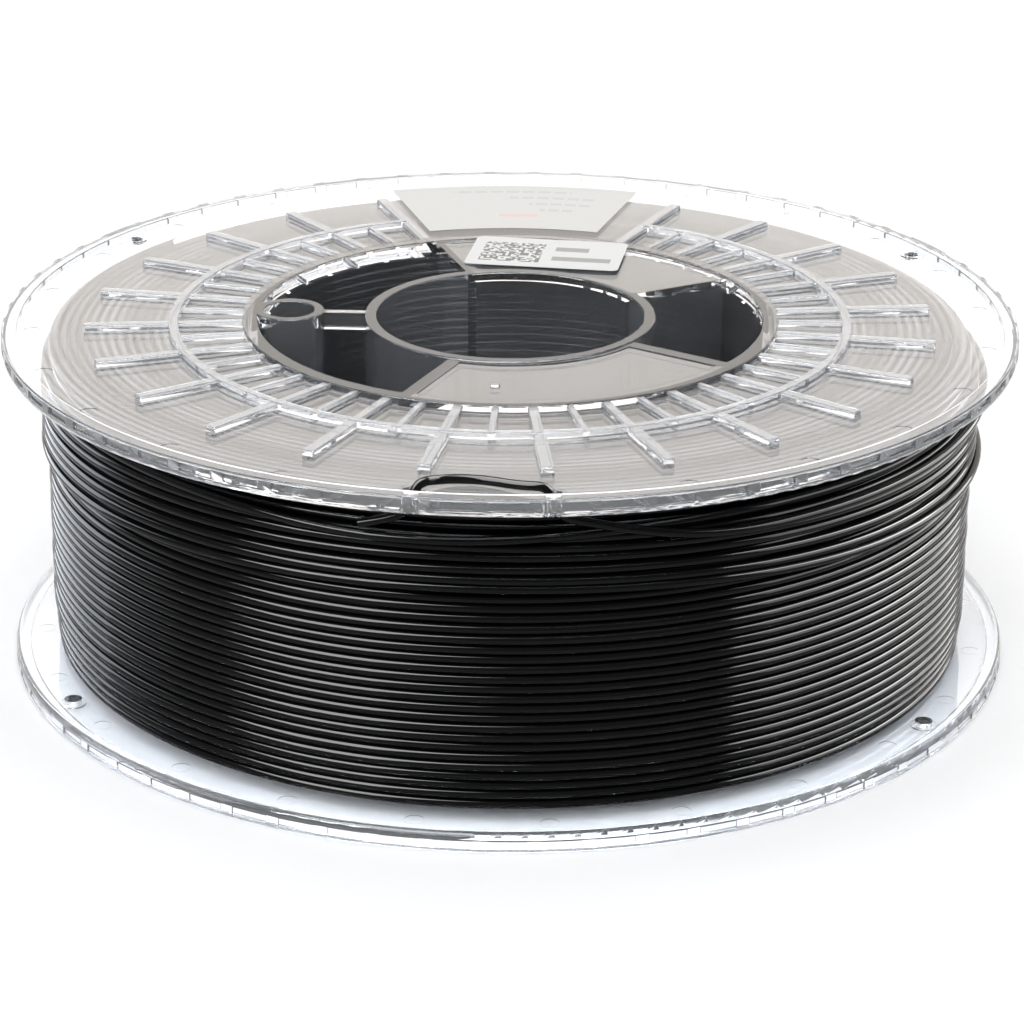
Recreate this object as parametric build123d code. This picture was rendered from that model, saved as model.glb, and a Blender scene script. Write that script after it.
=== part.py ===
from build123d import *
import os
from math import cos, radians, sin, tan

# A one kilogram filament spool, wound full, lying flat. Millimetres, +Z along the bore.
# The two clear mouldings are one design: the lower one is the upper one turned over about X.

# Overall
SPOOL_D = 200.0                 # over the flanges
SPOOL_W = 68.0                  # over the two outer planes
BORE_D = 53.0                   # spindle bore
HUB_WALL = 2.3
CORE_IN_R = 50.0                # inside of the drum that the filament is wound on
CORE_WALL = 2.3

# Flange section, measured inwards from its outer plane
FLANGE_T = 3.7                  # outer plane to the face that touches the winding
RIB_H = 1.3                     # ribs and rim stand this far above the disc
BAND_R = 0.25                   # round on the top edges of the round ribs and tubes
RIB_R = 0.35                    # round on the top edges of the straight ribs
RIM_W = 3.0
EDGE_R = 1.2                    # round on the rim's inner outside edge
LIP_R = 0.3                     # round on the rim's outer edges

# Ring of ribs round the core, and the long ribs outside it
RIB_PITCH = 7.5                 # degrees
RIB_T = (2.0, 1.4)              # every other one is thinner
CORE_BAND = (50.0, 53.0)        # inner and outer radius
RING_BAND = (65.5, 67.4)
SPOKE_PITCH = 15.0
SPOKE_T = 2.5
SPOKE_END_R = 84.0
RIB_DROP = 0.25                 # tops of the straight ribs and webs below the outer plane
PANEL = (67.5, 112.5)           # smooth panel for the large label, degrees

# Webs between the hub and the core, one each side of the X axis
WEB = (31.0, 111.0)             # degrees, mirrored on the other side
WEB_T = 2.3
WEB_FIELD = 0.2                 # plate below its raised border
WEB_BORDER = 2.6
WEB_WALL = 1.8

# Small drive tube and the rib that ties it to the hub
DRIVE_X = -43.9
DRIVE_BORE_D = 10.0
DRIVE_WALL = 1.9
TIE_T = 1.8

# Filament holes beside the rim, each in a low round boss
HOLE_R = 94.6                   # from the axis
HOLE_ANGLES = (-97.5, -82.5, 30.0, 150.0)
HOLE_D = 3.4
BOSS_D = 5.0
BOSS_H = 0.3

# Shallow cells in the rim's outside wall, and small moulding marks
CELL_COUNT = 64
CELL_W = 7.2
CELL_H = 1.6
CELL_DEEP = 0.5
PIN_MARK_D = 3.6
PIN_MARK_DEEP = 0.1
GATE_D = 2.0
GATE_H = 0.5
GATE_R = 40.9

# Half-lap joint between the two mouldings, on the drum's outer side
LAP_H = 2.5
LAP_GAP = 0.05
LAP_END = 3.0                   # degrees kept clear at each end

# Filament
FILAMENT_D = 1.75
WINDING = ((FLANGE_T, 91.2), (12.0, 92.1), (40.0, 92.1), (46.0, 92.8), (64.3, 92.8))

# Labels
LABEL_T = 0.1
BIG_LABEL = (61.0, 92.5, 75.3, 109.3)       # inner and outer radius, first and last angle
SMALL_LABEL = (32.0, 19.0)
SMALL_LABEL_AT = (5.6, 39.6, -6.0)          # centre and turn

# Worked out
RIM_R = SPOOL_D / 2
RIM_IN_R = RIM_R - RIM_W
BORE_R = BORE_D / 2
HUB_R = BORE_R + HUB_WALL
CORE_R = CORE_IN_R + CORE_WALL
HALF_W = SPOOL_W / 2


def polar(r, angle, z=0.0):
    """The point at a radius and an angle in degrees."""
    return (r * cos(radians(angle)), r * sin(radians(angle)), z)


def ring(r_out, r_in, top, bottom):
    """A plain ring between two heights."""
    flat = Circle(r_out) - Circle(r_in)
    return Pos(0, 0, bottom) * extrude(flat, top - bottom)


def wedge(first, last, reach=150.0):
    """A flat sector from the axis, less than a half turn wide."""
    middle = (first + last) / 2
    points = [(0, 0), polar(reach, first)[:2], polar(reach * 1.6, middle)[:2], polar(reach, last)[:2]]
    return make_face(Polyline(*points, close=True))


def round_rib(r_in, r_out, top, bottom):
    """A ring with its two top edges rounded."""
    band = ring(r_out, r_in, top, bottom)
    edges = [e for e in band.edges().filter_by(GeomType.CIRCLE) if e.center().Z > top - 0.01]
    return fillet(edges, BAND_R)


def straight_rib(r_from, r_to, width, bottom):
    """A radial rib along +X with its top edges rounded, and the corners of its outer end."""
    top = -RIB_DROP
    block = Pos((r_from + r_to) / 2, 0, (top + bottom) / 2) * Box(r_to - r_from, width, top - bottom)
    edges = block.edges()
    upper = edges.group_by(Axis.Z)[-1]
    end = [e for e in edges.filter_by(Axis.Z) if e.center().X > r_to - 0.01]
    return fillet(list(upper) + end, RIB_R)


def bar(r_from, r_to, width, angle):
    """A flat radial strip."""
    return Rot(0, 0, angle) * Pos((r_from + r_to) / 2, 0) * Rectangle(r_to - r_from, width)


def slab(flat, top, bottom):
    """A flat shape made solid between two heights."""
    return Pos(0, 0, bottom) * extrude(flat, top - bottom)


def rim_and_disc():
    """The flange's disc and its thicker rim, with the outside edges rounded."""
    rim = ring(RIM_R, RIM_IN_R, 0, -FLANGE_T)
    circles = rim.edges().filter_by(GeomType.CIRCLE)
    inner_face_edge = [e for e in circles if e.radius > RIM_R - 0.1 and e.center().Z < -FLANGE_T + 0.1]
    rim = fillet(inner_face_edge, EDGE_R)
    outer_edges = [e for e in rim.edges().filter_by(GeomType.CIRCLE) if e.center().Z > -0.1]
    rim = fillet(outer_edges, LIP_R)
    return rim + ring(RIM_IN_R + 0.5, CORE_IN_R, -RIB_H, -FLANGE_T)


def rib_ring():
    """A round rib with radial ribs inside it, left out of the label panel."""
    bottom = -RIB_H - 0.3
    ribs = round_rib(*RING_BAND, 0, bottom) - slab(wedge(*PANEL), 1, bottom - 1)
    from_r, to_r = CORE_BAND[1] - 0.5, RING_BAND[0] + 0.5
    pair = [straight_rib(from_r, to_r, width, bottom) for width in RIB_T]
    for i in range(int(360 / RIB_PITCH)):
        angle = i * RIB_PITCH
        if not PANEL[0] <= angle <= PANEL[1]:
            in_line_with_spoke = angle % SPOKE_PITCH > 1
            ribs += Rot(0, 0, angle) * pair[0 if in_line_with_spoke else 1]
    border = straight_rib(from_r, SPOKE_END_R, SPOKE_T, bottom)
    for angle in PANEL:
        ribs += Rot(0, 0, angle) * border
    return ribs


def spokes():
    """Long ribs from the ring outwards, left out of the label panel."""
    one = straight_rib(RING_BAND[0] + 0.5, SPOKE_END_R, SPOKE_T, -RIB_H - 0.3)
    placed = []
    for i in range(int(360 / SPOKE_PITCH)):
        angle = (i + 0.5) * SPOKE_PITCH
        if not PANEL[0] <= angle <= PANEL[1]:
            placed.append(Rot(0, 0, angle) * one)
    return placed


def hub_and_core():
    """The spindle tube and the drum, down to the middle of the spool."""
    hub = round_rib(BORE_R, HUB_R, 0, -HALF_W)
    core = ring(CORE_R, CORE_IN_R, -1, -HALF_W)
    return hub + core + round_rib(*CORE_BAND, 0, -RIB_H - 0.3)


def web(side):
    """A closed box between hub and core: a bordered plate and a wall at each end."""
    first, last = WEB if side > 0 else (-WEB[1], -WEB[0])
    gap = Circle(CORE_IN_R + 0.5) - Circle(HUB_R - 0.5)
    sector = gap & wedge(first, last)
    plate = slab(sector, -RIB_DROP, -WEB_T)
    inner = Circle(CORE_IN_R - 0.8) - Circle(HUB_R + 0.8)
    inner -= bar(0, CORE_R, 2 * WEB_BORDER, first) + bar(0, CORE_R, 2 * WEB_BORDER, last)
    field = -RIB_DROP - WEB_FIELD
    plate -= slab(inner & wedge(first, last), 0, field)
    walls = sector & (bar(0, CORE_R, 2 * WEB_WALL, first) + bar(0, CORE_R, 2 * WEB_WALL, last))
    gate = Pos(*polar(GATE_R, side * 91.0, field - 0.1)) * extrude(Circle(GATE_D / 2), GATE_H)
    return plate + slab(walls, -RIB_DROP, -HALF_W) + gate


def drive_tube():
    """The small tube beside the hub, and the rib that ties it to the hub."""
    r = DRIVE_BORE_D / 2 + DRIVE_WALL
    tube = Pos(DRIVE_X, 0) * round_rib(DRIVE_BORE_D / 2, r, 0, -HALF_W)
    tie_from = DRIVE_X + r - 0.5
    tie_to = -HUB_R + 0.5
    tie = Pos((tie_from + tie_to) / 2, 0) * Rectangle(tie_to - tie_from, TIE_T)
    return tube + slab(tie, -RIB_DROP, -FLANGE_T)


def drive_bore():
    return Pos(DRIVE_X, 0, -HALF_W - 1) * extrude(Circle(DRIVE_BORE_D / 2), HALF_W + 2)


def hole_bosses():
    flat = Sketch()
    for angle in HOLE_ANGLES:
        flat += Pos(*polar(HOLE_R, angle)) * Circle(BOSS_D / 2)
    return slab(flat, -RIB_H + BOSS_H, -RIB_H - 0.5)


def hole_cuts():
    """Filament holes, and shallow round pin marks at the other stations."""
    flat = Sketch()
    for angle in HOLE_ANGLES:
        flat += Pos(*polar(HOLE_R, angle)) * Circle(HOLE_D / 2)
    marks = Sketch()
    for i in range(int(360 / SPOKE_PITCH)):
        angle = (i + 0.5) * SPOKE_PITCH
        if min(abs(angle - h % 360) for h in HOLE_ANGLES) > 4:
            marks += Pos(*polar(HOLE_R - 0.6, angle)) * Circle(PIN_MARK_D / 2)
    return slab(flat, 1, -FLANGE_T - 1) + slab(marks, 0, -RIB_H - PIN_MARK_DEEP)


def rim_cells():
    """Shallow cells in the rim's outside wall, left out beside the filament holes."""
    cells = []
    for i in range(CELL_COUNT):
        angle = (i + 0.5) * 360 / CELL_COUNT
        near = min(abs((angle - h + 180) % 360 - 180) for h in HOLE_ANGLES)
        if near > 3.4:
            block = Box(2 * CELL_DEEP, CELL_W, CELL_H)
            cells.append(Rot(0, 0, angle) * Pos(RIM_R, 0, -0.6 - CELL_H / 2) * block)
    return cells


def lap(first, last, r_in, low, high):
    """A thin arc on the drum's outer side, for the tongue or its groove."""
    flat = (Circle(CORE_R + (0 if low < -HALF_W else 1)) - Circle(r_in)) & wedge(first, last)
    return slab(flat, high, low)


def half_moulding():
    """One clear moulding, its outer plane at Z 0 and its joint at -HALF_W."""
    body = rim_and_disc()
    body += rib_ring()
    body += spokes()
    body += hub_and_core()
    body += web(1)
    body += web(-1)
    body += drive_tube()
    body += hole_bosses()
    body -= drive_bore()
    body -= hole_cuts()
    body -= rim_cells()
    middle_r = CORE_IN_R + CORE_WALL / 2
    for first, last in ((LAP_END, 90.0), (90.0, 180.0 - LAP_END)):
        body += lap(first, last, middle_r + LAP_GAP, -HALF_W - LAP_H + LAP_GAP, -HALF_W + 1)
    for first, last in ((-180.0 + LAP_END - 0.2, -90.0), (-90.0, -LAP_END + 0.2)):
        body -= lap(first, last, middle_r, -HALF_W - 1e-3, -HALF_W + LAP_H)
    return body


def winding():
    """All the wound turns as one closed solid, between the flanges and on the drum."""
    outline = [(CORE_R, WINDING[0][0])] + [(r, z) for z, r in WINDING] + [(CORE_R, WINDING[-1][0])]
    face = make_face(Plane.XZ * Polyline(*outline, close=True))
    return revolve(face, Axis.Z)


def big_label():
    r_in, r_out, first, last = BIG_LABEL
    flat = (Circle(r_out) - Circle(r_in)) & wedge(first, last)
    bottom = SPOOL_W - RIB_H
    return slab(flat, bottom + LABEL_T, bottom)


def small_label():
    x, y, turn = SMALL_LABEL_AT
    flat = Pos(x, y) * Rot(0, 0, turn) * RectangleRounded(*SMALL_LABEL, 1.5)
    return slab(flat, SPOOL_W + LABEL_T, SPOOL_W)


# Free end of the filament: off the winding, up through one rim hole, down through the next.
# Radius, angle and height of each point of its route.
TAIL_ROUTE = (
    (94.0, -50.0, 56.4),
    (94.0, -58.0, 56.0),
    (94.0, -66.0, 56.8),
    (94.1, -73.0, 58.8),
    (94.3, -78.6, 61.2),
    (94.6, -82.2, 62.8),
    (94.8, -82.8, 68.4),
    (93.2, -86.0, 68.0),
    (89.9, -90.2, 67.8),
    (90.4, -94.1, 67.9),
    (94.7, -97.1, 68.6),
    (94.6, -97.9, 62.9),
    (94.5, -100.4, 61.1),
    (94.4, -103.3, 59.9),
)


def route_radii(points):
    """For each corner of a route, the arc that its two runs leave room for."""
    radii = []
    for before, here, after in zip(points, points[1:], points[2:]):
        into = here - before
        out = after - here
        half_turn = radians(into.get_angle(out)) / 2
        radii.append(0.45 * min(into.length, out.length) / tan(half_turn))
    return radii


def tail():
    points = [Vector(*polar(r, angle, z)) for r, angle, z in TAIL_ROUTE]
    radii = route_radii(points)
    path = FilletPolyline(*points, radius=radii)
    section = Plane(origin=points[0], z_dir=points[1] - points[0]) * Circle(FILAMENT_D / 2)
    tube = sweep(section, path)
    runs = [(b - a).length for a, b in zip(points, points[1:])]
    turns = [(b - a).get_angle(c - b) for a, b, c in zip(points, points[1:], points[2:])]
    print("tail runs", [round(x, 1) for x in runs])
    print("tail turns", [round(x, 1) for x in turns])
    print("tail radii", [round(x, 1) for x in radii])
    print("tail length", round(path.length, 2))
    print("tail volume / section x length", round(tube.volume / (path.length * section.area), 4))
    return tube


def main():
    os.makedirs("parts", exist_ok=True)
    half = half_moulding()
    nodes = {
        "upper_moulding": Pos(0, 0, SPOOL_W) * half,
        "lower_moulding": Rot(180, 0, 0) * half,
        "filament_winding": winding(),
        "filament_tail": tail(),
        "flange_label": big_label(),
        "web_label": small_label(),
    }
    for name, shape in nodes.items():
        shape.label = name
        export_step(shape, f"parts/{name}.step")


main()
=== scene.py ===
import math

import bpy
import numpy as np
from mathutils import Matrix, Vector


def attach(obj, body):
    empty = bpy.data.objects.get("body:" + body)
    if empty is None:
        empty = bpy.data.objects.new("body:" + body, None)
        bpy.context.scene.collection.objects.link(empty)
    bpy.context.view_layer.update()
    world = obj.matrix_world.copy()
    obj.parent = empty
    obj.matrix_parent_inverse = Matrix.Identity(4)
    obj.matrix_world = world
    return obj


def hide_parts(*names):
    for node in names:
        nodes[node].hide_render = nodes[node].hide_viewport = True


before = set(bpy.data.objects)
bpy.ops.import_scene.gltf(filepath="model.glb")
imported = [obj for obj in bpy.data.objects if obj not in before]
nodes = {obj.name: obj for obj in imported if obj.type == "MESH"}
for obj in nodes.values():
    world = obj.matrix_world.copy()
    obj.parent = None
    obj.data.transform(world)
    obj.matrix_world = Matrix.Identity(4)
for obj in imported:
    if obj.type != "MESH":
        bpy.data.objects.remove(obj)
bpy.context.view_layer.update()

MM = 0.001
FULL_TURN = 2 * math.pi


def set_in(node, **values):
    """Sets a node's inputs by name, with _ for a space."""
    for key, value in values.items():
        node.inputs[key.replace("_", " ")].default_value = value


# ---------------------------------------------------------------- camera
CAMERA_AT_MM = (33.02, -659.25, 290.45)
CAMERA_YAW, CAMERA_PITCH, CAMERA_ROLL = -2.82, 21.857, 0.276
LENS, SENSOR = 123.45, 36


def make_camera():
    """A long lens about 0.7 m away, looking 22 degrees down at the rim holes."""
    yaw, pitch, roll = (math.radians(a) for a in (CAMERA_YAW, CAMERA_PITCH, CAMERA_ROLL))
    forward = Vector((math.sin(yaw) * math.cos(pitch), math.cos(yaw) * math.cos(pitch), -math.sin(pitch)))
    level = Vector((math.cos(yaw), -math.sin(yaw), 0))
    above = level.cross(forward)
    right = level * math.cos(roll) + above * math.sin(roll)
    up = above * math.cos(roll) - level * math.sin(roll)
    data = bpy.data.cameras.new("camera")
    data.lens = LENS
    data.sensor_width = SENSOR
    data.clip_start = 0.01
    data.clip_end = 20
    camera = bpy.data.objects.new("camera", data)
    turn = Matrix((right, up, -forward)).transposed().to_4x4()
    camera.matrix_world = Matrix.Translation(Vector(CAMERA_AT_MM) * MM) @ turn
    bpy.context.scene.collection.objects.link(camera)
    bpy.context.scene.camera = camera


# ---------------------------------------------------------------- free end of the filament
# The CAD strand's route: radius and height in metres, with the angle between them in degrees.
# It leaves the winding, rises through one rim hole, lies on the flange and goes down the next.
TAIL_ROUTE = (
    (0.0940, -50.0, 0.0564),
    (0.0940, -58.0, 0.0560),
    (0.0940, -66.0, 0.0568),
    (0.0941, -73.0, 0.0588),
    (0.0943, -78.6, 0.0612),
    (0.0946, -82.2, 0.0628),
    (0.0948, -82.8, 0.0684),
    (0.0932, -86.0, 0.0680),
    (0.0899, -90.2, 0.0678),
    (0.0904, -94.1, 0.0679),
    (0.0947, -97.1, 0.0686),
    (0.0946, -97.9, 0.0629),
    (0.0945, -100.4, 0.0611),
    (0.0944, -103.3, 0.0599),
)
STRAND_D = 0.00175


def polar(r, angle, z=0.0):
    a = math.radians(angle)
    return Vector((r * math.cos(a), r * math.sin(a), z))


def make_tail():
    curve = bpy.data.curves.new("filament_free_end", "CURVE")
    curve.dimensions = "3D"
    curve.resolution_u = 12
    curve.bevel_depth = STRAND_D / 2
    curve.bevel_resolution = 5
    curve.use_fill_caps = True
    spline = curve.splines.new("NURBS")
    spline.points.add(len(TAIL_ROUTE) - 1)
    for control, place in zip(spline.points, TAIL_ROUTE):
        control.co = (*polar(*place), 1)
    spline.order_u = 3
    spline.use_endpoint_u = True
    tail = bpy.data.objects.new("filament_free_end", curve)
    bpy.context.scene.collection.objects.link(tail)
    return tail


# ---------------------------------------------------------------- wound filament, in millimetres
CORE_R = 52.3
FACE_LOW, FACE_HIGH = 3.7, 64.3
STRAND = STRAND_D / MM
END_GAP = 0.05                      # between the flanges and the turns beside them
LOW, HIGH = FACE_LOW + STRAND / 2 + END_GAP, FACE_HIGH - STRAND / 2 - END_GAP

PITCH = 1.92
STEPS_PER_TURN = 144

PART_FIRST_Z, PART_TOP_Z = 46.4, 62.4
PART_PITCH, PART_TURNS = 1.98, 7.55
SEAT_SINK = 0.28                    # how far a turn sits down between the two under it
CLIMB_TURNS = 0.45
STRAY_BACK, STRAY_WIDTH = 98, 24    # degrees from the free end's start, and across
STRAY_DROP, STRAY_LIFT = 2.4, 1.4

ROW_PITCH = STRAND + 0.05
ROW_STEPS = 72
RING_STEPS = 96
LAYER_COUNT = 22
LAST_LAYER_R = 88.2
MASS_INSET = 1.15                   # of the dark mass, inside the strands that cover it
MASS_HEIGHTS = 9

# The outside slot takes the black with its reflection turned down, painted shade; the inside slot takes
# the fully glossy black.
OUTSIDE, INSIDE = 0, 1              # material slots


def wander(rng, amplitude, waves):
    """A smooth random function of angle in radians, about the given amplitude."""
    phases = rng.uniform(0, FULL_TURN, len(waves))
    sizes = rng.normal(0, 1, len(waves)) / math.sqrt(len(waves))
    return lambda t: amplitude * sum(s * np.sin(w * t + p) for s, w, p in zip(sizes, waves, phases))


def bell(x):
    return np.exp(-x * x)


def circle(steps):
    return np.linspace(0, FULL_TURN, steps, endpoint=False)


def base_radius(z):
    """Outside of the last full layer, lower where the part layer lies on it."""
    return np.interp(z, (FACE_LOW, 12, 38, 46, FACE_HIGH), (91.2, 92.0, 92.0, 91.3, 91.0))


class Strands:
    """Collects tube walls and shells in one mesh. Lengths are in millimetres until build()."""

    def __init__(self):
        self.points, self.faces, self.uvs, self.slots = [], [], [], []
        self.count = 0
        self.slot = OUTSIDE

    def add_grid(self, grid, closed, length):
        """Faces over rows of points, closed where the last row meets the first."""
        rows, cols = grid.shape[:2]
        self.points.append(grid.reshape(-1, 3))
        u = np.linspace(0, length, rows + (1 if closed else 0))
        for i in range(rows if closed else rows - 1):
            j = (i + 1) % rows
            for k in range(cols - 1):
                a, b = self.count + i * cols + k, self.count + j * cols + k
                self.faces.append((a, b, b + 1, a + 1))
                self.slots.append(self.slot)
                v0, v1 = k / (cols - 1), (k + 1) / (cols - 1)
                self.uvs.extend(((u[i], v0), (u[i + 1], v0), (u[i + 1], v1), (u[i], v1)))
        self.count += rows * cols

    def add_strand(self, angle, r, z, ways, sides, closed=False):
        """A tube wall along angle (radians), between two ways (degrees) round its section."""
        turn = np.linspace(*(math.radians(way) for way in ways), sides + 1)
        out = r[:, None] + STRAND / 2 * np.cos(turn)[None, :]
        up = z[:, None] + STRAND / 2 * np.sin(turn)[None, :]
        grid = np.stack((out * np.cos(angle)[:, None], out * np.sin(angle)[:, None], up), axis=2)
        self.add_grid(grid, closed, float(np.sum(np.abs(np.diff(angle)) * r[:-1])) * MM)

    def build(self, name):
        mesh = bpy.data.meshes.new(name)
        mesh.from_pydata((np.concatenate(self.points) * MM).tolist(), [], self.faces)
        layer = mesh.uv_layers.new(name="UVMap")
        layer.data.foreach_set("uv", np.array(self.uvs, np.float32).ravel())
        mesh.polygons.foreach_set("use_smooth", np.ones(len(self.faces), bool))
        mesh.polygons.foreach_set("material_index", np.array(self.slots, np.int32))
        mesh.update()
        ob = bpy.data.objects.new(name, mesh)
        bpy.context.scene.collection.objects.link(ob)
        return ob


def add_full_layer(strands, rng):
    """The last full layer, a helix that rises clockwise."""
    turns = (HIGH - LOW) / PITCH
    t = np.arange(0, int(turns * STEPS_PER_TURN) + 1) / STEPS_PER_TURN * FULL_TURN
    z = LOW + PITCH * t / FULL_TURN
    z += wander(rng, 0.09, (1, 2, 3, 0.13, 0.37))(t)
    r = base_radius(z) - STRAND / 2 + wander(rng, 0.10, (1, 2, 0.31, 0.77, 1.7))(t)
    strands.add_strand(-t, r, np.clip(z, LOW, HIGH), (105, -105), 9)


def add_part_layer(strands, rng):
    """A looser layer on the upper part, fanned out towards the right and the left."""
    end_r, end_angle, end_z = TAIL_ROUTE[0]
    t = np.linspace(0, PART_TURNS * FULL_TURN, int(PART_TURNS * STEPS_PER_TURN))
    n = t / FULL_TURN
    start = math.radians(end_angle) + PART_TURNS * FULL_TURN
    angle = start - t
    right, left = (bell((1 - side * np.cos(angle)) / 0.5) for side in (1, -1))
    z = PART_FIRST_Z + PART_PITCH * n + wander(rng, 0.16, (0.43, 0.9, 1.7, 2.6))(t)
    z += wander(rng, 0.35, (0.29, 0.61, 1.13))(t) * right
    z = PART_TOP_Z - (PART_TOP_Z - z) * (1 + 0.20 * right + 0.10 * left)
    r = base_radius(z) + STRAND / 2 - SEAT_SINK
    r += np.abs(wander(rng, 0.28, (0.61, 1.3, 2.2))(t))
    # The first turn stands off the winding at both sides.
    r += bell((n - 0.45) / 0.55) * (0.9 * right + 0.3 * left)
    # One turn strays down over its neighbours at the front left.
    stray_t = start + math.radians(STRAY_BACK) - FULL_TURN
    stray = bell((t - stray_t) / math.radians(STRAY_WIDTH))
    z -= STRAY_DROP * stray
    r += STRAY_LIFT * stray
    # The end climbs over its neighbours to meet the free end.
    climb = np.clip((n - (PART_TURNS - CLIMB_TURNS)) / CLIMB_TURNS, 0, 1)
    climb = climb * climb * (3 - 2 * climb)
    r = r * (1 - climb) + end_r / MM * climb
    z = z * (1 - climb) + end_z / MM * climb
    strands.add_strand(angle, r, z, (180, -180), 12)


def add_drum_rows(strands, rng):
    """The first layer's rows, that show through the drum's wall."""
    strands.slot = INSIDE
    ring = circle(ROW_STEPS)
    r = np.full(ROW_STEPS, CORE_R + STRAND / 2 + 0.03)
    for row in np.arange(LOW, HIGH + 0.01, ROW_PITCH):
        tilt = wander(rng, 0.12, (1, 2))
        strands.add_strand(ring, r, row + tilt(ring), (260, 100), 5, closed=True)
    strands.slot = OUTSIDE


def add_layer_ends(strands, rng):
    """The layers' end turns, that show through the flanges. Every other one lies deeper."""
    ring = circle(RING_STEPS)
    layers = np.linspace(CORE_R + STRAND / 2 + END_GAP, LAST_LAYER_R, LAYER_COUNT)
    for k, layer in enumerate(layers):
        for side in (1, -1):
            drop = rng.uniform(0, 0.25) + (0.55 if k % 2 else 0.0) * rng.uniform(0.3, 1.0)
            sway = wander(rng, 0.10, (1, 2, 3))
            edge = HIGH if side > 0 else LOW
            height = np.clip(edge - side * (drop + sway(ring)), LOW, HIGH)
            ways = (165, 15) if side > 0 else (345, 195)
            r = layer + wander(rng, 0.12, (1, 2))(ring)
            strands.add_strand(ring, r, height, ways, 5, closed=True)


def add_mass(strands):
    """The dark mass of the turns inside, a closed shell."""
    inner_r, bottom, top = CORE_R + MASS_INSET, FACE_LOW + MASS_INSET, FACE_HIGH - MASS_INSET
    outline = [(inner_r, bottom), (inner_r, top)]
    outline += [(float(base_radius(h)) - MASS_INSET, h) for h in np.linspace(top, bottom, MASS_HEIGHTS)]
    outline.append(outline[0])
    r, z = np.array(outline).T
    ring = circle(RING_STEPS)[:, None]
    grid = np.stack(np.broadcast_arrays(r * np.cos(ring), r * np.sin(ring), z), axis=2)
    strands.add_grid(grid, True, 0.45)


def make_winding():
    rng = np.random.default_rng(7)
    strands = Strands()
    add_full_layer(strands, rng)
    add_part_layer(strands, rng)
    add_drum_rows(strands, rng)
    add_layer_ends(strands, rng)
    add_mass(strands)
    return strands.build("filament_wound")


# ---------------------------------------------------------------- light
FLOOR_SIZE = 8
FLOOR_DROP = 0.0002                 # keeps the floor off the lower flange


def softbox(name, at, size, radiance, colour=(1, 1, 1), look=None, turn=0, on=None):
    """A rectangular light of even radiance, turned to look at a point, or else flat and facing down.

    With on, it lights only those objects.
    """
    data = bpy.data.lights.new(name, "AREA")
    data.shape = "RECTANGLE"
    data.size, data.size_y = size
    data.energy = radiance * math.pi * size[0] * size[1]
    data.color = colour
    lamp = bpy.data.objects.new(name, data)
    lamp.location = at
    if look is None:
        lamp.rotation_euler = (0, 0, math.radians(turn))
    else:
        lamp.rotation_euler = (Vector(look) - Vector(at)).to_track_quat("-Z", "Y").to_euler()
    bpy.context.scene.collection.objects.link(lamp)
    if on:
        lit = bpy.data.collections.new(name + "_lights")
        for ob in on:
            lit.objects.link(ob)
        lamp.light_linking.receiver_collection = lit


def make_floor():
    bpy.ops.mesh.primitive_plane_add(size=FLOOR_SIZE, location=(0, 0, -FLOOR_DROP))
    floor = bpy.context.object
    floor.name = "floor"
    mat, _, shader = new_material("floor_white")
    set_in(shader, Base_Color=(0.9, 0.9, 0.9, 1), Roughness=0.9)
    floor.data.materials.append(mat)
    return floor


def light_room(plastic, rest):
    """A white room: a warm wall behind, a cool one at the left and a plain one at the right, and a box
    above.
    """
    room = plastic + rest
    softbox("back_wall", (0, 1.7, 0.75), (3.2, 1.5), 1.15, (1, 0.90, 0.79), look=(0, 0, 0.1))
    softbox("left_wall", (-1.2, -0.2, 0.4), (1.0, 0.9), 3.0, (0.93, 0.96, 1), look=(0, 0, 0.05), on=room)
    softbox("right_wall", (1.2, -0.35, 0.4), (0.9, 0.9), 3.0, look=(0, 0, 0.05), on=room)
    softbox("overhead", (0, 0.2, 1.5), (1.6, 1.6), 1.1, look=(0, 0, 0.03), on=rest)


def light_plastic(plastic, floor):
    """Stronger boxes for the clear plastic's glints. The front one also lights the floor."""
    softbox("left_strip", (-0.75, -0.85, 0.75), (0.45, 0.3), 30.0, look=(0, 0, 0.05), on=plastic)
    softbox("front_fill", (0, -1.3, 0.9), (1.6, 0.8), 3.6, (1, 0.98, 0.95), look=(0, -0.1, 0),
            on=plastic + [floor])
    softbox("overhead_clear", (0, -0.5, 1.5), (1.6, 1.2), 9.0, (0.9, 0.95, 1), look=(0, 0, 0.03),
            on=plastic)


def light_strands(strands):
    """Boxes with a dark gap between them, which gives the black strands two zones of highlights."""
    softbox("strand_top_left", (-0.885, -0.918, 1.0), (3.0, 0.875), 42.0, turn=56.6, on=strands)
    softbox("strand_top_right", (1.093, 0.523, 1.0), (1.48, 1.3), 40.0, turn=42.4, on=strands)
    softbox("strand_left", (-1.2, 0.9, 0.6), (1.2, 1.2), 11.0, (0.86, 0.92, 1), look=(0, 0.9, 0.6),
            on=strands)
    softbox("strand_right", (1.2, 0.4, 0.55), (2.0, 1.1), 12.5, (1, 0.99, 0.97), look=(0, 0.4, 0.55),
            on=strands)


def make_world():
    world = bpy.data.worlds.new("studio")
    bpy.context.scene.world = world
    world.use_nodes = True
    set_in(world.node_tree.nodes["Background"], Color=(0.9, 0.94, 1, 1), Strength=0.45)
    bpy.context.scene.view_settings.view_transform = "Standard"
    bpy.context.scene.view_settings.look = "None"


# ---------------------------------------------------------------- material nodes
MIX_A, MIX_B, MIX_COLOUR = 6, 7, 2  # the Mix node's colour sockets


def new_material(name):
    mat = bpy.data.materials.new(name)
    mat.use_nodes = True
    return mat, mat.node_tree, mat.node_tree.nodes["Principled BSDF"]


def calc(tree, operation, first, second=0.0):
    """A Math node's result. Each value is a number or a socket."""
    node = tree.nodes.new("ShaderNodeMath")
    node.operation = operation
    for socket, value in zip(node.inputs, (first, second)):
        if isinstance(value, (int, float)):
            socket.default_value = value
        else:
            tree.links.new(value, socket)
    return node.outputs[0]


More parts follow.
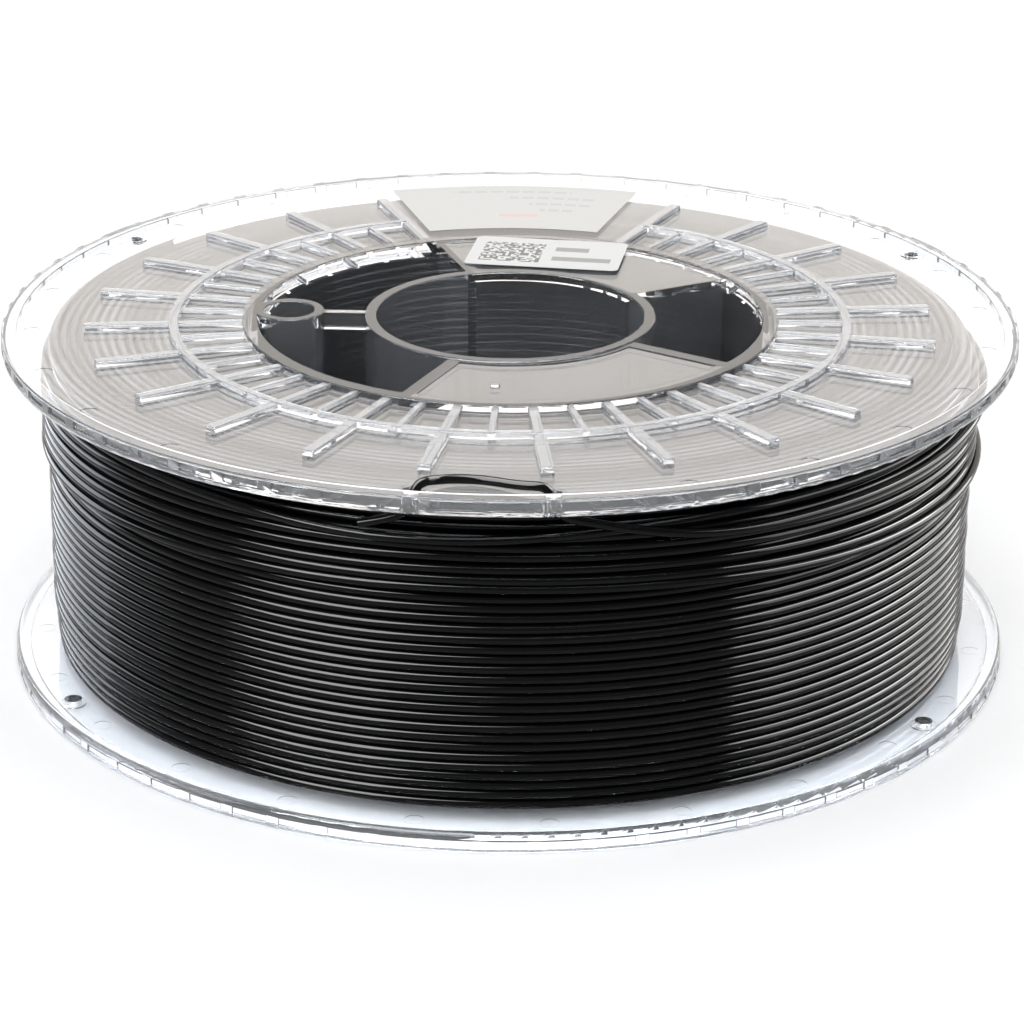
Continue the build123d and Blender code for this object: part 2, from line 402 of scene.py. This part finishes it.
def add(tree, first, second):
    return calc(tree, "ADD", first, second)


def times(tree, first, second):
    return calc(tree, "MULTIPLY", first, second)


def between(tree, value, low, high):
    """1 where low < value < high, else 0."""
    return times(tree, calc(tree, "GREATER_THAN", value, low), calc(tree, "LESS_THAN", value, high))


def rectangle(tree, x, y, box):
    """1 inside a box of x0, x1, y0, y1, else 0."""
    x0, x1, y0, y1 = box
    return times(tree, between(tree, x, x0, x1), between(tree, y, y0, y1))


def wave(tree, value, spacing):
    """Smooth stripes from 0 to 1 across a value."""
    turns = times(tree, value, FULL_TURN / spacing)
    return add(tree, times(tree, calc(tree, "SINE", turns), 0.5), 0.5)


def random_cells(tree, x, y, size):
    """0 or 1 at random in square cells."""
    cell = tree.nodes.new("ShaderNodeCombineXYZ")
    for value, socket in ((x, "X"), (y, "Y")):
        tree.links.new(calc(tree, "FLOOR", calc(tree, "DIVIDE", value, size)), cell.inputs[socket])
    noise = tree.nodes.new("ShaderNodeTexWhiteNoise")
    noise.noise_dimensions = "2D"
    tree.links.new(cell.outputs[0], noise.inputs["Vector"])
    return calc(tree, "GREATER_THAN", noise.outputs["Value"], 0.48)


def noise_texture(tree, vector, scale, detail):
    noise = tree.nodes.new("ShaderNodeTexNoise")
    set_in(noise, Scale=scale, Detail=detail)
    tree.links.new(vector, noise.inputs["Vector"])
    return noise.outputs["Fac"]


def add_bump(tree, shader, height, strength, distance):
    bump = tree.nodes.new("ShaderNodeBump")
    set_in(bump, Strength=strength, Distance=distance)
    tree.links.new(height, bump.inputs["Height"])
    tree.links.new(bump.outputs["Normal"], shader.inputs["Normal"])


def cylinder_coords(tree):
    """Object coordinates: the vector, x, y, z, distance from the axis, and degrees round it."""
    coord = tree.nodes.new("ShaderNodeTexCoord")
    parts = tree.nodes.new("ShaderNodeSeparateXYZ")
    tree.links.new(coord.outputs["Object"], parts.inputs[0])
    x, y, z = (parts.outputs[axis] for axis in "XYZ")
    radius = calc(tree, "SQRT", add(tree, times(tree, x, x), times(tree, y, y)))
    angle = times(tree, calc(tree, "ARCTAN2", y, x), 180 / math.pi)
    return coord.outputs["Object"], x, y, z, radius, angle


# ---------------------------------------------------------------- clear plastic
TOP_DISC_Z = (0.0664, 0.06675)      # the upper flange's outer face, below the ribs' tops
TOP_RIB_Z = (0.06675, 0.07)
BOTTOM_RIB_Z = (-0.001, 0.00125)
RIB_R = (0.0531, 0.086)
RIM_R = (0.0969, 0.2)
DISC_R = (0.0675, 0.0965)

POLISHED, TEXTURED, WORN = 0.02, 0.07, 0.04     # roughness, and what ribs and rim add to it
CLEARNESS = 0.988                   # transmission where there is no haze
# The last haze and the two spacings paint pale concentric lines in the disc at the strand pitch: painted
# highlights of the wound strands' tops showing through it.
RIB_HAZE, RIM_HAZE, GLINT_RING_HAZE = 0.20, 0.03, 0.08
GLINT_RING_SPACING, GLINT_SWELL_SPACING = 0.00178, 0.0127


def clear_plastic():
    """Clear plastic, polished on its flats, with finely textured ribs, and pale concentric lines painted
    in its disc as highlights of the wound strands' tops seen through it.
    """
    mat, tree, shader = new_material("clear_plastic")
    set_in(shader, Base_Color=(0.96, 0.975, 1.0, 1), IOR=1.55)
    spot, _, _, z, radius, _ = cylinder_coords(tree)
    faces = add(tree, between(tree, z, *TOP_RIB_Z), between(tree, z, *BOTTOM_RIB_Z))
    ribs = times(tree, faces, between(tree, radius, *RIB_R))
    rim = between(tree, radius, *RIM_R)
    disc = times(tree, between(tree, z, *TOP_DISC_Z), between(tree, radius, *DISC_R))

    extra = add(tree, times(tree, ribs, TEXTURED), times(tree, rim, WORN))
    tree.links.new(add(tree, extra, POLISHED), shader.inputs["Roughness"])

    grain = noise_texture(tree, spot, 3200.0, 1.0)
    haze = times(tree, ribs, times(tree, grain, RIB_HAZE))
    haze = add(tree, haze, times(tree, rim, RIM_HAZE))
    # Painted highlights: pale concentric lines at the strand pitch, brighter in broad bands, where the
    # wound strands' tops glint through the disc.
    glint_swell = add(tree, times(tree, wave(tree, radius, GLINT_SWELL_SPACING), 0.6), 0.4)
    glint_rings = times(tree, wave(tree, radius, GLINT_RING_SPACING), glint_swell)
    haze = add(tree, haze, times(tree, times(tree, disc, glint_rings), GLINT_RING_HAZE))
    tree.links.new(calc(tree, "SUBTRACT", CLEARNESS, haze), shader.inputs["Transmission Weight"])

    add_bump(tree, shader, noise_texture(tree, spot, 90.0, 2.0), 0.05, 0.0004)
    return mat


# ---------------------------------------------------------------- black filament
def black_strand(name, gloss):
    """Drawn black plastic: fine ripples that run with the strand."""
    mat, tree, shader = new_material(name)
    set_in(shader, Base_Color=(0.0007, 0.0007, 0.0007, 1), IOR=1.5, Specular_IOR_Level=gloss)
    coord = tree.nodes.new("ShaderNodeUVMap")
    stretch = tree.nodes.new("ShaderNodeMapping")
    set_in(stretch, Scale=(60, 2, 1))
    tree.links.new(coord.outputs["UV"], stretch.inputs["Vector"])
    ripples = noise_texture(tree, stretch.outputs["Vector"], 1.0, 3.0)
    rough = tree.nodes.new("ShaderNodeMapRange")
    set_in(rough, To_Min=0.06, To_Max=0.14)
    tree.links.new(ripples, rough.inputs["Value"])
    tree.links.new(rough.outputs["Result"], shader.inputs["Roughness"])
    add_bump(tree, shader, ripples, 0.08, 0.0002)
    return mat


# ---------------------------------------------------------------- labels
WEB_LABEL_AT = (0.0056, 0.0396)
WEB_LABEL_TURN = 6.0
CELL_SIZE = 0.0006
CELL_BLOCK = (-0.0135, -0.0009, -0.0066, 0.0060)
SHORT_BAR = (0.0015, 0.0085, 0.0016, 0.0043)
LONG_BAR = (0.0015, 0.0138, -0.0048, -0.0021)
DARK_INK, GREY_INK = (0.13, 0.13, 0.13), (0.30, 0.30, 0.30)

# Rows of dashes: radius, and first and last angle in degrees.
DASH_ROWS = ((0.0880, 84, 101), (0.0835, 80, 93), (0.0790, 80, 90), (0.0745, 82, 88))
DASH_HALF_WIDTH, DASH_SPACING, DASH_GAP = 0.0008, 2.3, 0.12
ACCENT_BAR = (0.0695, 0.0712, 88, 95)
FAINT_INK, ACCENT_INK = (0.55, 0.55, 0.55), (0.75, 0.52, 0.50)


def web_print(tree, x, y, radius, angle):
    """A block of random cells and two plain bars, in the label's own turned frame."""
    cos, sin = math.cos(math.radians(WEB_LABEL_TURN)), math.sin(math.radians(WEB_LABEL_TURN))
    dx, dy = (calc(tree, "SUBTRACT", value, at) for value, at in zip((x, y), WEB_LABEL_AT))
    u = calc(tree, "SUBTRACT", times(tree, dx, cos), times(tree, dy, sin))
    v = add(tree, times(tree, dx, sin), times(tree, dy, cos))
    block = times(tree, rectangle(tree, u, v, CELL_BLOCK), random_cells(tree, u, v, CELL_SIZE))
    bars = add(tree, rectangle(tree, u, v, SHORT_BAR), rectangle(tree, u, v, LONG_BAR))
    return (block, DARK_INK), (bars, GREY_INK)


def flange_print(tree, x, y, radius, angle):
    """Rows of faint grey dashes that follow the flange, and one pale accent bar."""
    rows = 0.0
    for r, first, last in DASH_ROWS:
        box = (r - DASH_HALF_WIDTH, r + DASH_HALF_WIDTH, first, last)
        rows = add(tree, rows, rectangle(tree, radius, angle, box))
    dashes = calc(tree, "GREATER_THAN", wave(tree, angle, DASH_SPACING), DASH_GAP)
    accent = rectangle(tree, radius, angle, ACCENT_BAR)
    return (times(tree, rows, dashes), FAINT_INK), (accent, ACCENT_INK)


def printed(name, stock, marks):
    """Satin label stock with a faint fibre, and the printed marks."""
    mat, tree, shader = new_material(name)
    set_in(shader, Roughness=0.32)
    spot, x, y, _, radius, angle = cylinder_coords(tree)
    fibre = noise_texture(tree, spot, 900.0, 4.0)
    tone = tree.nodes.new("ShaderNodeMix")
    tone.data_type = "RGBA"
    tone.inputs[MIX_A].default_value = (*(c * 0.94 for c in stock), 1)
    tone.inputs[MIX_B].default_value = (*stock, 1)
    tree.links.new(fibre, tone.inputs[0])
    colour = tone.outputs[MIX_COLOUR]
    for mask, shade in marks(tree, x, y, radius, angle):
        mix = tree.nodes.new("ShaderNodeMix")
        mix.data_type = "RGBA"
        mix.inputs[MIX_B].default_value = (*shade, 1)
        tree.links.new(colour, mix.inputs[MIX_A])
        tree.links.new(mask, mix.inputs[0])
        colour = mix.outputs[MIX_COLOUR]
    tree.links.new(colour, shader.inputs["Base Color"])
    add_bump(tree, shader, fibre, 0.04, 0.0001)
    return mat


# ---------------------------------------------------------------- assembly
def dress(name, mat):
    """Gives a carried-over CAD node its material."""
    ob = nodes[name]
    ob.data.materials.clear()
    ob.data.materials.append(mat)
    return ob


make_camera()

clear = clear_plastic()
# Two copies of one black filament: the outside one reflects far more weakly, painted shade that keeps the
# floor's reflection off the outer turns and the free end; the inside one, for the rows seen through the
# drum wall, keeps full gloss.
black, black_inside = black_strand("filament_black", 0.09), black_strand("filament_black_inside", 0.5)
web_paper = printed("web_label_paper", (0.72, 0.73, 0.72), web_print)
flange_paper = printed("flange_label_paper", (0.66, 0.66, 0.64), flange_print)

mouldings = [dress(name, clear) for name in ("upper_moulding", "lower_moulding")]
labels = [dress("flange_label", flange_paper), dress("web_label", web_paper)]

tail = make_tail()
tail.data.materials.append(black)
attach(tail, "root")
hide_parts("filament_tail")

wound = make_winding()
for mat in (black, black_inside):
    wound.data.materials.append(mat)
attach(wound, "root")
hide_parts("filament_winding")

floor = make_floor()
light_room(mouldings, labels + [floor])
light_plastic(mouldings, floor)
light_strands([wound, tail])
make_world()
